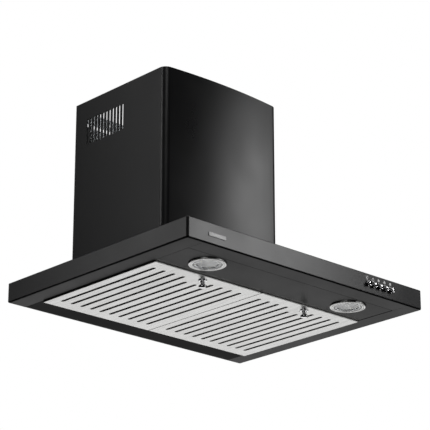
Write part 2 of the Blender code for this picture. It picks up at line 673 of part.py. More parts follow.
def outlet():
    """A round duct collar on the blower box, closed by two flaps that fall shut."""
    base = BLOWER_Z[1] + GAP
    inner = COLLAR_RADIUS
    profile = [
        (inner - 3.4, 0), (inner + 8, 0), (inner + 8, 2), (inner + 1.8, 2), (inner + 1.8, 50), (inner, 50),
        (inner, FLAP_Z - base - 2.6), (inner - 3.4, FLAP_Z - base - 4.4),
    ]
    turned("outlet_collar", profile, (0, COLLAR_Y, base), "Z", BLACK_PLASTIC, 28, ring=True)
    disc("damper_pin", 1.5, (-inner + GAP, inner - GAP), (0, COLLAR_Y, FLAP_Z), "X", SPRING_STEEL, 12)
    for side, label in ((-1, "front"), (1, "rear")):
        radius = inner - 1.4
        hinge_y = COLLAR_Y + side * FLAP_OFFSET
        edge = math.degrees(math.asin(FLAP_OFFSET / radius))
        outline = arc((0, COLLAR_Y), radius, edge, 180 - edge, 12)
        outline = [(a, COLLAR_Y + side * (b - COLLAR_Y)) for a, b in outline]
        flap = prism(f"damper_flap_{label}", outline, (FLAP_Z - 0.8, FLAP_Z + 0.8), "Z", BLACK_PLASTIC)
        pivot(f"damper_{label}_pivot", (0, hinge_y, FLAP_Z), [flap])


def electrics():
    """Wiring parts: terminal box and lid, run capacitor, lamp driver and mains cable gland."""
    front, wall, depth = BLOWER_Y[0] - GAP, 2, 20
    x, z = (-60, 30), (RIM + 150, RIM + 215)
    terminals = box("terminal_box", x, (front - depth, front), z, BLACK_PLASTIC)
    room_x, room_z = (x[0] + wall, x[1] - wall), (z[0] + wall, z[1] - wall)
    cut(terminals, box("terminal_box_room", room_x, (front - depth - OVERCUT, front - wall), room_z))
    lid_y = front - depth - GAP
    box("terminal_box_lid", x, (lid_y - wall, lid_y), z, BLACK_PLASTIC)
    capacitor = [(0, 0), (12, 0), (12.5, 1), (12.5, 52), (10, 55), (0, 55)]
    turned("run_capacitor", capacitor, (56, front - 13, RIM + 152), "Z", WHITE_PLASTIC, 16)
    ceiling, driver_height = CANOPY_TOP - SHEET - GAP, 16
    box("lamp_driver", (-35, 35), (-425, -395), (ceiling - driver_height, ceiling), WHITE_PLASTIC)
    gland = [(4, -6), (8, -6), (8, GAP), (12, GAP), (12, 6), (9, 8), (9, 18), (6, 20), (4, 20)]
    turned("cable_gland", gland, (*GLAND, BLOWER_Z[1]), "Z", BLACK_PLASTIC, 16, ring=True)


canopy()
rear_rail()
light_panel()
badge()
for side, label in ((-1, "left"), (1, "right")):
    grease_filter(side, label)
    lamp(side, label)
controls()
chimney()
back_plate()
blower_box()
blower()
outlet()
electrics()
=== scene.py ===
import math

import bmesh
import bpy
from mathutils import Matrix, Vector


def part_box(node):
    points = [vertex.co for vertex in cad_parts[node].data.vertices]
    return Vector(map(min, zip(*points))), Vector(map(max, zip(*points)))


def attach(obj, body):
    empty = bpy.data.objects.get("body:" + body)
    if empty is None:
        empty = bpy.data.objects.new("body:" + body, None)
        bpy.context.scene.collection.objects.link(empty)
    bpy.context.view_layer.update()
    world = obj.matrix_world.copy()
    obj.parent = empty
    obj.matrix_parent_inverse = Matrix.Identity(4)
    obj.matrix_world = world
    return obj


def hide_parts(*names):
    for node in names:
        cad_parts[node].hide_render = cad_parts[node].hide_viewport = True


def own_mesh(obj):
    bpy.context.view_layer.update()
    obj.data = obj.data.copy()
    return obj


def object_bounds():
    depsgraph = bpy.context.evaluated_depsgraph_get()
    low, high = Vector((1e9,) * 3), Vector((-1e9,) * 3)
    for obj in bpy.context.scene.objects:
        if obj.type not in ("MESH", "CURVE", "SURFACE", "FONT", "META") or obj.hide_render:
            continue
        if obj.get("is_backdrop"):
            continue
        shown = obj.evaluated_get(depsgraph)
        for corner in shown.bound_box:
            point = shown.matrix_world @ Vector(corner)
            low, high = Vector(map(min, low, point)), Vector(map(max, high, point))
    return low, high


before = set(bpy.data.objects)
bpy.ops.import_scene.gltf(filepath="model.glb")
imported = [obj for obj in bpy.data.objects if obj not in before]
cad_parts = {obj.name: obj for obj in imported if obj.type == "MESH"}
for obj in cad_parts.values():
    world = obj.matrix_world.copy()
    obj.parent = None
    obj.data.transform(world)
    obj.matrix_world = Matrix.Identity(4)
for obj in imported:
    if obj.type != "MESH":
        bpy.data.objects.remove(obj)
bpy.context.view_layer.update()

MM = 0.001

# ------------------------------------------------------------------------------------------ canopy
# One sheet of 1 mm steel, folded down at the edges and in again to a flat rim, and powder-coated satin black.
# The opening below has a turned-up lip on three sides, the top a hole for the blower, and the front five
# holes for the buttons. The rear strip of the rim is a flange of its own, with a seam at each end.


def only(piece):
    """Selects this piece alone."""
    bpy.ops.object.select_all(action="DESELECT")
    piece.select_set(True)
    bpy.context.view_layer.objects.active = piece


def block(name, low, high):
    """A cube primitive stretched between two corners, its place kept in its mesh."""
    bpy.ops.object.select_all(action="DESELECT")
    bpy.ops.mesh.primitive_cube_add(size=1, location=(Vector(low) + Vector(high)) / 2)
    piece = bpy.context.object
    piece.name = piece.data.name = name
    piece.scale = Vector(high) - Vector(low)
    bpy.ops.object.transform_apply(location=True, rotation=True, scale=True)
    return piece


def edit(piece):
    only(piece)
    bpy.ops.object.mode_set(mode="EDIT")
    bpy.ops.mesh.select_all(action="DESELECT")


def done():
    bpy.ops.object.mode_set(mode="OBJECT")


def pick_faces(piece, test):
    """Selects the faces that test(centre, normal) says."""
    bpy.ops.mesh.select_mode(type="FACE")
    bpy.ops.mesh.select_all(action="DESELECT")
    shape = bmesh.from_edit_mesh(piece.data)
    for face in shape.faces:
        if test(face.calc_center_median(), face.normal):
            face.select_set(True)
    bmesh.update_edit_mesh(piece.data)


def pick_edges(piece, test, open_only=False):
    """Selects the edges that test(one end, other end) says, or only those of them that lack a face."""
    bpy.ops.mesh.select_mode(type="EDGE")
    bpy.ops.mesh.select_all(action="DESELECT")
    shape = bmesh.from_edit_mesh(piece.data)
    for edge in shape.edges:
        if test(edge.verts[0].co, edge.verts[1].co) and (edge.is_boundary or not open_only):
            edge.select_set(True)
    bmesh.update_edit_mesh(piece.data)


def near(a, b, within=1e-5):
    return abs(a - b) < within


def bevel_picked(width, segments):
    bpy.ops.mesh.bevel(offset=width, offset_type="OFFSET", segments=segments, affect="EDGES", profile=0.5)


def push_picked(x=0.0, y=0.0, z=0.0):
    bpy.ops.mesh.extrude_region_move(TRANSFORM_OT_translate={"value": (x, y, z)})


def outline_in(piece, side, **spans):
    """Cuts a rectangle, given as spans along two axes, into the faces that side says, and selects it."""
    axes = ["xyz".index(letter) for letter in spans]
    for axis, span in zip(axes, spans.values()):
        for position in span:
            across = Vector([float(index == axis) for index in range(3)])
            pick_faces(piece, side)
            bpy.ops.mesh.bisect(plane_co=across * position, plane_no=across)
    pick_faces(piece, lambda c, n: side(c, n) and all(
        span[0] < c[axis] < span[1] for axis, span in zip(axes, spans.values())
    ))


def apply(piece, kind, **values):
    """Adds a modifier and applies it."""
    only(piece)
    step = piece.modifiers.new(kind.title(), kind)
    for key, value in values.items():
        setattr(step, key, value)
    bpy.ops.object.modifier_apply(modifier=step.name)


def joined(pieces):
    bpy.ops.object.select_all(action="DESELECT")
    for piece in pieces:
        piece.select_set(True)
    bpy.context.view_layer.objects.active = pieces[0]
    if len(pieces) > 1:
        bpy.ops.object.join()
    return pieces[0]


def carve(piece, cutters):
    """Cuts all of the cutters out of the piece, and removes them."""
    cutter = joined(cutters)
    apply(piece, "BOOLEAN", operation="DIFFERENCE", object=cutter, solver="EXACT")
    bpy.data.objects.remove(cutter)


def rod(name, radius, start, end, sides=32):
    """A cylinder primitive from one point to another."""
    start, end = Vector(start), Vector(end)
    bpy.ops.object.select_all(action="DESELECT")
    bpy.ops.mesh.primitive_cylinder_add(
        vertices=sides, radius=radius, depth=(end - start).length, location=(start + end) / 2,
        rotation=(end - start).to_track_quat("Z", "Y").to_euler(),
    )
    piece = bpy.context.object
    piece.name = piece.data.name = name
    bpy.ops.object.transform_apply(location=True, rotation=True, scale=True)
    return piece


def finish(name, colour, roughness, metallic=0.0, **inputs):
    """A Principled material; spaces in the other input names are written as underscores."""
    made = bpy.data.materials.new(name)
    made.use_nodes = True
    shader = made.node_tree.nodes["Principled BSDF"]
    shader.inputs["Base Color"].default_value = (*colour, 1.0)
    shader.inputs["Roughness"].default_value = roughness
    shader.inputs["Metallic"].default_value = metallic
    for key, value in inputs.items():
        shader.inputs[key.replace("_", " ")].default_value = value
    return made


def node(look, kind, **values):
    made = look.node_tree.nodes.new(kind)
    for key, value in values.items():
        if key in made.inputs:
            made.inputs[key].default_value = value
        else:
            setattr(made, key, value)
    return made


def wire(look, output, entry):
    look.node_tree.links.new(output, entry)


def grain(look, scale, stretch=(1, 1, 1), detail=4.0):
    """Noise on Object coordinates; scale is in features per metre, and stretch squeezes each axis."""
    where = node(look, "ShaderNodeTexCoord")
    spread = node(look, "ShaderNodeMapping", Scale=stretch)
    noise = node(look, "ShaderNodeTexNoise", Scale=scale, Detail=detail, Roughness=0.55)
    wire(look, where.outputs["Object"], spread.inputs["Vector"])
    wire(look, spread.outputs["Vector"], noise.inputs["Vector"])
    return noise.outputs["Fac"]


def rescale(look, value, low, high, start=0.3, end=0.7):
    """Stretches the middle of a pattern to run from low to high."""
    made = node(look, "ShaderNodeMapRange")
    made.inputs["From Min"].default_value = start
    made.inputs["From Max"].default_value = end
    made.inputs["To Min"].default_value = low
    made.inputs["To Max"].default_value = high
    wire(look, value, made.inputs["Value"])
    return made.outputs["Result"]


def vary_roughness(look, value, low, high, start=0.3, end=0.7):
    shader = look.node_tree.nodes["Principled BSDF"]
    wire(look, rescale(look, value, low, high, start, end), shader.inputs["Roughness"])


COLOUR_A, COLOUR_B, COLOUR_OUT = 6, 7, 2  # the colour sockets of a Mix node


def vary_colour(look, value, first, second, start=0.3, end=0.7):
    """Runs the base colour from first to second with the pattern."""
    mix = node(look, "ShaderNodeMix", data_type="RGBA")
    mix.inputs[COLOUR_A].default_value = (*first, 1.0)
    mix.inputs[COLOUR_B].default_value = (*second, 1.0)
    wire(look, rescale(look, value, 0.0, 1.0, start, end), mix.inputs["Factor"])
    wire(look, mix.outputs[COLOUR_OUT], look.node_tree.nodes["Principled BSDF"].inputs["Base Color"])


def wear_edges(look, worn, reach=0.9 * MM):
    """Shows a lighter, rubbed colour in patches at the edges, where a rounded normal leaves the true one."""
    shader = look.node_tree.nodes["Principled BSDF"]
    base = shader.inputs["Base Color"]
    softened = node(look, "ShaderNodeBevel", samples=4, Radius=reach)
    surface = node(look, "ShaderNodeNewGeometry")
    likeness = node(look, "ShaderNodeVectorMath", operation="DOT_PRODUCT")
    wire(look, softened.outputs["Normal"], likeness.inputs[0])
    wire(look, surface.outputs["Normal"], likeness.inputs[1])
    patches = node(look, "ShaderNodeMath", operation="MULTIPLY")
    wire(look, rescale(look, likeness.outputs["Value"], 1.0, 0.0, 0.85, 0.99), patches.inputs[0])
    wire(look, rescale(look, grain(look, 70.0, detail=6.0), 0.0, 1.0, 0.42, 0.62), patches.inputs[1])
    mix = node(look, "ShaderNodeMix", data_type="RGBA")
    mix.inputs[COLOUR_A].default_value = base.default_value
    if base.is_linked:
        wire(look, base.links[0].from_socket, mix.inputs[COLOUR_A])
    mix.inputs[COLOUR_B].default_value = (*worn, 1.0)
    wire(look, patches.outputs["Value"], mix.inputs["Factor"])
    wire(look, mix.outputs[COLOUR_OUT], base)


def bump(look, value, height, strength=1.0):
    shader = look.node_tree.nodes["Principled BSDF"]
    made = node(look, "ShaderNodeBump", Strength=strength, Distance=height)
    wire(look, value, made.inputs["Height"])
    if shader.inputs["Normal"].is_linked:
        wire(look, shader.inputs["Normal"].links[0].from_socket, made.inputs["Normal"])
    wire(look, made.outputs["Normal"], shader.inputs["Normal"])


def place(piece, body, slot, look, *nodes):
    """Shades a finished piece, gives it its look, and puts it on its body in place of its CAD nodes."""
    only(piece)
    bpy.ops.object.shade_smooth_by_angle(angle=math.radians(32))
    apply(piece, "WEIGHTED_NORMAL", keep_sharp=True)
    piece.data.materials.clear()
    piece.data.materials.append(look)
    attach(piece, body)
    if nodes:
        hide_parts(*nodes)


def repaint(look, *names):
    """Gives CAD nodes whose shape is right a better look."""
    for name in names:
        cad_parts[name].data.materials.clear()
        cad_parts[name].data.materials.append(look)


black_coat = finish("black_powder_coat", (0.013, 0.013, 0.014), 0.34, Specular_IOR_Level=0.5)
vary_roughness(black_coat, grain(black_coat, 9.0, detail=6.0), 0.30, 0.38)
wear_edges(black_coat, (0.045, 0.045, 0.047))
bump(black_coat, grain(black_coat, 900.0, detail=2.0), 0.00002, 0.5)

sheet = 1.0 * MM
low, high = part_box("canopy_shell")
panel_low, panel_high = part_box("light_panel")
rim_gap = 0.6 * MM
opening_x = (panel_low.x - rim_gap, panel_high.x + rim_gap)
opening_y = (panel_low.y - rim_gap, -55.0 * MM)
intake_x, intake_y = (-104 * MM, 104 * MM), (-228 * MM, -14 * MM)
corner_round, rim_round, top_round, lip_round = 4.5 * MM, 3.2 * MM, 1.5 * MM, 0.8 * MM
lip_height, button_hole, screw_hole = 7 * MM, 5.4 * MM, 2.6 * MM
cutter_reach = 4 * MM
seam, seam_depth, seam_end = 0.25 * MM, 0.35 * MM, 6 * MM

canopy = block("canopy", low, high)
edit(canopy)
pick_edges(canopy, lambda a, b: near(a.y, low.y) and near(b.y, low.y) and near(a.x, b.x))
bevel_picked(corner_round, 6)
pick_edges(canopy, lambda a, b: near(a.z, low.z) and near(b.z, low.z))
bevel_picked(rim_round, 6)
pick_edges(canopy, lambda a, b: near(a.z, high.z) and near(b.z, high.z))
bevel_picked(top_round, 4)
outline_in(canopy, lambda c, n: n.z < -0.99, x=opening_x, y=opening_y)
push_picked(z=lip_height)
bpy.ops.mesh.delete(type="FACE")
pick_faces(canopy, lambda c, n: near(c.y, opening_y[1]) and abs(n.y) > 0.9)
bpy.ops.mesh.delete(type="FACE")
outline_in(canopy, lambda c, n: n.z > 0.99 and c.z > high.z - MM, x=intake_x, y=intake_y)
bpy.ops.mesh.delete(type="FACE")
pick_edges(canopy, lambda a, b: near(a.z, low.z) and near(b.z, low.z) and (
    (near(a.x, b.x) and near(abs(a.x), opening_x[1])) or (near(a.y, b.y) and near(a.y, opening_y[0]))
) and abs(a.x) < opening_x[1] + MM and abs(b.x) < opening_x[1] + MM)
bevel_picked(lip_round, 3)
done()
apply(canopy, "SOLIDIFY", thickness=sheet, offset=-1, use_even_offset=True)
button_names = ("lamp", "off", "low", "medium", "high")
button_centres = []
for label in button_names:
    low_corner, high_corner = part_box(f"button_{label}")
    button_centres.append((low_corner + high_corner) / 2)
holes = [
    rod(f"hole_{index}", button_hole, (c.x, low.y - cutter_reach, c.z), (c.x, low.y + cutter_reach, c.z))
    for index, c in enumerate(button_centres)
]
for index in (1, 2, 3, 4):
    screw_low, screw_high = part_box(f"blower_screw_{index}")
    x, y = (screw_low.x + screw_high.x) / 2, (screw_low.y + screw_high.y) / 2
    holes.append(rod(
        f"screw_hole_{index}", screw_hole, (x, y, high.z - cutter_reach), (x, y, high.z + cutter_reach), 16
    ))
for side in (-1, 1):
    x = side * opening_x[1]
    for name, y in (
        ("rear_seam", (opening_y[1] - MM, high.y - seam_end)),
        ("front_seam", (low.y + seam_end, opening_y[0] + MM)),
    ):
        holes.append(block(name, (x - seam, y[0], low.z - MM), (x + seam, y[1], low.z + seam_depth)))
carve(canopy, holes)
flange_low = Vector((-opening_x[1] + 2 * seam, opening_y[1], low.z))
flange_high = Vector((opening_x[1] - 2 * seam, high.y - seam_end, low.z + sheet))
room = Vector((seam, seam, seam))
carve(canopy, [block("flange_room", flange_low - room - Vector((0, MM, MM)), flange_high + room)])
place(canopy, "hood", "black_paint", black_coat, "canopy_shell")
flange = block("canopy_rear_flange", flange_low, flange_high)
edit(flange)
pick_edges(flange, lambda a, b: near(a.z, low.z) and near(b.z, low.z))
flange_round = 0.3 * MM
bevel_picked(flange_round, 3)
done()
place(flange, "hood", "black_paint", black_coat)
repaint(black_coat, "filter_rear_rail")

# ------------------------------------------------------------------------------------------ lamp panel
# The panel in front of the filters is a shallow pan of the same coated steel. Its edges are turned up, the
# rear one lower, where the filters' bolts pass over it, and two round holes hold the lamps.
low, high = panel_low, panel_high
panel_round, rear_edge = 0.9 * MM, 4 * MM
lamp_hole, hole_reach = 30.6 * MM, 5 * MM
lamp_centres = {}
for label in ("left", "right"):
    ring_low, ring_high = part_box(f"lamp_{label}_ring")
    lamp_centres[label] = Vector(((ring_low.x + ring_high.x) / 2, (ring_low.y + ring_high.y) / 2, 0))
rim_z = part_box("canopy_shell")[0].z

panel = block("lamp_panel", low, high)
edit(panel)
pick_faces(panel, lambda c, n: n.z > 0.9)
bpy.ops.mesh.delete(type="FACE")
pick_faces(panel, lambda c, n: n.y > 0.9)
bpy.ops.mesh.bisect(plane_co=(0, 0, low.z + rear_edge), plane_no=(0, 0, 1))
pick_faces(panel, lambda c, n: n.y > 0.9 and c.z > low.z + rear_edge)
bpy.ops.mesh.delete(type="FACE")
pick_edges(panel, lambda a, b: near(a.z, low.z) and near(b.z, low.z))
bevel_picked(panel_round, 3)
done()
apply(panel, "SOLIDIFY", thickness=sheet, offset=-1, use_even_offset=True)
carve(panel, [
    rod(f"lamp_hole_{label}", lamp_hole, (c.x, c.y, low.z - hole_reach), (c.x, c.y, low.z + hole_reach), 64)
    for label, c in lamp_centres.items()
])
place(panel, "hood", "black_paint", black_coat, "light_panel")

# ------------------------------------------------------------------------------------------ lamps
# Each lamp is a satin metal ring pushed up through the panel, with a clear moulded lens set in it, a white
# board of LED chips above the lens, and a black can. Two spring clips hold it in its hole.


def traced(name, points):
    """A line of edges through the points, made by extruding one vertex from each to the next."""
    bpy.ops.object.select_all(action="DESELECT")
    bpy.ops.mesh.primitive_plane_add(size=MM, location=points[0])
    piece = bpy.context.object
    piece.name = piece.data.name = name
    bpy.ops.object.transform_apply(location=True, rotation=True, scale=True)
    bpy.ops.object.mode_set(mode="EDIT")
    bpy.ops.mesh.select_mode(type="VERT")
    bpy.ops.mesh.select_all(action="SELECT")
    bpy.ops.mesh.merge(type="CENTER")
    for before, after in zip(points, points[1:]):
        bpy.ops.mesh.extrude_vertices_move(TRANSFORM_OT_translate={"value": after - before})
    bpy.ops.object.mode_set(mode="OBJECT")
    return piece


def turn(name, profile, centre, axis=(0, 0, 1), steps=64, closed=True):
    """Spins a profile of (radius, height) points, in millimetres, about an axis."""
    axis, centre = Vector(axis), Vector(centre)
    out = Vector((0, 0, 1)) if axis.z == 0 else Vector((1, 0, 0))
    piece = traced(name, [centre + out * radius * MM + axis * height * MM for radius, height in profile])
    bpy.ops.object.mode_set(mode="EDIT")
    bpy.ops.mesh.select_all(action="SELECT")
    if closed:
        bpy.ops.mesh.edge_face_add()
        bpy.ops.mesh.delete(type="ONLY_FACE")
        bpy.ops.mesh.select_all(action="SELECT")
    bpy.ops.mesh.spin(steps=steps, angle=math.tau, center=centre, axis=axis, use_auto_merge=True)
    bpy.ops.mesh.select_all(action="SELECT")
    bpy.ops.mesh.remove_doubles(threshold=1e-6)
    bpy.ops.mesh.normals_make_consistent(inside=False)
    bpy.ops.object.mode_set(mode="OBJECT")
    return piece


satin_ring = finish("satin_lamp_ring", (0.62, 0.62, 0.61), 0.30, 1.0)
vary_roughness(satin_ring, grain(satin_ring, 60.0, detail=6.0), 0.24, 0.40)
bump(satin_ring, grain(satin_ring, 2500.0), 0.000006, 0.4)

lens_plastic = finish(
    "clear_lens_plastic", (0.86, 0.87, 0.88), 0.16, Transmission_Weight=0.55, IOR=1.49, Coat_Weight=0.3
)
vary_roughness(lens_plastic, grain(lens_plastic, 120.0), 0.12, 0.24)
cells = node(lens_plastic, "ShaderNodeTexVoronoi", Scale=650.0)
cells_place = node(lens_plastic, "ShaderNodeTexCoord")
wire(lens_plastic, cells_place.outputs["Object"], cells.inputs["Vector"])
bump(lens_plastic, cells.outputs["Distance"], 0.0004, 0.6)

board_white = finish("white_board_lacquer", (0.86, 0.86, 0.83), 0.42)
vary_roughness(board_white, grain(board_white, 300.0), 0.36, 0.50)
bump(board_white, grain(board_white, 900.0), 0.00002, 0.3)

chip_yellow = finish(
    "phosphor_chip", (0.85, 0.72, 0.30), 0.35, Emission_Color=(1.0, 0.93, 0.80, 1.0), Emission_Strength=0.15
)
vary_colour(chip_yellow, grain(chip_yellow, 700.0), (0.85, 0.72, 0.30), (0.90, 0.80, 0.42))

moulded_black = finish("moulded_black_plastic", (0.020, 0.020, 0.021), 0.48)
vary_roughness(moulded_black, grain(moulded_black, 40.0, detail=6.0), 0.42, 0.58)
bump(moulded_black, grain(moulded_black, 1400.0, detail=3.0), 0.00004, 0.5)

spring_strip = finish("spring_strip_steel", (0.42, 0.42, 0.41), 0.30, 1.0)
vary_roughness(spring_strip, grain(spring_strip, 400.0, (1, 6, 6)), 0.24, 0.42)
bump(spring_strip, grain(spring_strip, 1500.0), 0.00001, 0.4)

chip_half, chip_inset, chip_dish = 1.4 * MM, 0.4 * MM, 0.2 * MM
chip_drop = (0.9 * MM, 0.1 * MM)
chip_rings = ((1, 0.0), (6, 9.0), (12, 18.0))
prism_count, prism_pitch = 9, 2

for label, centre in lamp_centres.items():
    at_rim = centre + Vector((0, 0, rim_z))
    ring = turn(f"lamp_{label}_bezel", [
        (26.4, 1.0), (26.4, -1.5), (26.7, -2.1), (27.3, -2.4), (29.3, -2.4), (29.7, -2.2), (29.9, -1.5),
        (30.5, -1.5), (30.7, -2.2), (31.1, -2.4), (32.8, -2.3), (33.8, -1.9), (34.4, -1.1), (34.5, -0.5),
        (34.5, 0.1), (30.1, 0.1), (30.1, 13.8), (29.9, 14.0), (29.1, 14.0), (28.9, 13.8), (28.9, 1.0),
    ], at_rim, steps=96)
    place(ring, "hood", "lamp_ring", satin_ring, f"lamp_{label}_ring")
    prisms = []
    for step in range(prism_count):
        prisms += [(18.6 - prism_pitch * step, 1.5), (18.0 - prism_pitch * step, 0.7)]
    lens = turn(f"lamp_{label}_cover", [
        (0, -0.5), (12, -0.6), (19.0, -0.7), (19.7, -0.9), (20.2, -1.9), (20.8, -2.2), (24.6, -2.1),
        (25.6, -1.8), (26.0, -1.1), (26.0, 1.5), *prisms, (0, 1.5),
    ], at_rim, steps=72, closed=False)
    place(lens, "hood", "clear_lens", lens_plastic, f"lamp_{label}_lens")
    board_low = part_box(f"lamp_{label}_led_board")[0].z
    chips = []
    for count, radius in chip_rings:
        for index in range(count):
            angle = math.tau * index / count
            middle = centre + Vector((math.cos(angle), math.sin(angle), 0)) * radius * MM
            chip = block("chip", middle + Vector((-chip_half, -chip_half, board_low - chip_drop[0])),
                         middle + Vector((chip_half, chip_half, board_low - chip_drop[1])))
            edit(chip)
            pick_faces(chip, lambda c, n: n.z < -0.9)
            bpy.ops.mesh.inset(thickness=chip_inset, depth=-chip_dish)
            done()
            chips.append(chip)
    chips = joined(chips)
    chips.name = chips.data.name = f"lamp_{label}_chips"
    place(chips, "hood", "led_board", chip_yellow)
    repaint(board_white, f"lamp_{label}_led_board")
    repaint(moulded_black, f"lamp_{label}_can")
    repaint(spring_strip, f"lamp_{label}_clip_a", f"lamp_{label}_clip_b")

# ------------------------------------------------------------------------------------------ grease filters
# Each filter is two plates of stainless steel. The lower is a pan with ten long slots, their edges turned up.
# The upper is a row of caps over them, their edges turned down, so that the air turns twice and leaves its
# grease. Two tabs at the rear hook over the rail, and a sprung latch holds the front.


def rounded_block(name, low, high, axis, radius, segments=5):
    """A block whose four edges along an axis are rounded."""
    piece = block(name, low, high)
    edit(piece)
    pick_edges(piece, lambda a, b: near((a - b).length, abs((a - b)[axis])))
    bevel_picked(radius, segments)
    done()
    return piece


def unite(piece, others):
    other = joined(others)
    apply(piece, "BOOLEAN", operation="UNION", object=other, solver="EXACT")
    bpy.data.objects.remove(other)


brushed = finish("brushed_stainless", (0.66, 0.66, 0.65), 0.36, 1.0)
strokes = grain(brushed, 1100.0, (1, 0.012, 1), detail=5.0)
vary_colour(brushed, grain(brushed, 14.0, (1, 0.25, 1), detail=5.0), (0.63, 0.63, 0.62), (0.70, 0.70, 0.69))
vary_roughness(brushed, strokes, 0.28, 0.44)
wear_edges(brushed, (0.82, 0.82, 0.81), 0.4 * MM)
bump(brushed, strokes, 0.00001, 0.5)

# The caps' steel is painted darker than bare stainless. This is painted shade, for the dim space seen through
# the slots.
shade_darkened_stainless = finish("pressed_stainless_painted_shade", (0.24, 0.24, 0.235), 0.42, 1.0)
vary_roughness(shade_darkened_stainless, grain(shade_darkened_stainless, 500.0, (0.02, 1, 1)), 0.32, 0.46)
bump(shade_darkened_stainless, grain(shade_darkened_stainless, 700.0), 0.00001, 0.4)

bright_chrome = finish("bright_chrome", (0.78, 0.78, 0.79), 0.09, 1.0)
vary_roughness(bright_chrome, grain(bright_chrome, 130.0, detail=5.0), 0.06, 0.15)
bump(bright_chrome, grain(bright_chrome, 500.0), 0.000006, 0.25)

zinc = finish("galvanised_steel", (0.47, 0.49, 0.50), 0.45, 1.0)
spangle = node(zinc, "ShaderNodeTexVoronoi", Scale=95.0)
spangle_place = node(zinc, "ShaderNodeTexCoord")
wire(zinc, spangle_place.outputs["Object"], spangle.inputs["Vector"])
shade = node(zinc, "ShaderNodeSeparateColor")
wire(zinc, spangle.outputs["Color"], shade.inputs["Color"])
vary_colour(zinc, shade.outputs["Red"], (0.36, 0.38, 0.39), (0.56, 0.58, 0.60), 0.0, 1.0)
vary_roughness(zinc, shade.outputs["Green"], 0.34, 0.56, 0.0, 1.0)
bump(zinc, grain(zinc, 260.0), 0.00004, 0.5)

slot_count, slot_pitch, slot_width = 10, 23.3 * MM, 7.2 * MM
slot_front, slot_rear, short_slot_front = -347.5 * MM, -83.5 * MM, -327.5 * MM
slot_shift, slot_lip = -3.5 * MM, 0.8 * MM
slot_top, slot_round = 8 * MM, slot_width / 2 - 0.05 * MM
lip_top = 3.4 * MM
pan_corner, pan_round, pan_rear, filter_reach = 2.0 * MM, 1.0 * MM, -55.5 * MM, 5 * MM
pan_edge, cap_edge, crease = 0.3 * MM, 0.35 * MM, math.radians(60)
tab_x, tab_half, tab_round = 85 * MM, 10 * MM, 0.8 * MM
tab_front, tab_z = pan_rear - 0.9 * MM, (rim_z + 1.5 * MM, rim_z + 2.5 * MM)
latch_travel, stem_half, stem_round, stem_top = 8.0 * MM, 3.5 * MM, 3.4 * MM, 3 * MM
bolt_half, bolt_clearance, bolt_depth = 7.6 * MM, 0.5 * MM, 3 * MM
cap_half, cap_margin = slot_width / 2 + 4 * MM, 12 * MM
latch_room, latch_room_end = 12 * MM, short_slot_front + 8 * MM
knob_shank = 8.1 * MM
spring_coils, spring_wire, spring_sides, spring_steps = 6, 0.3 * MM, 8, 20

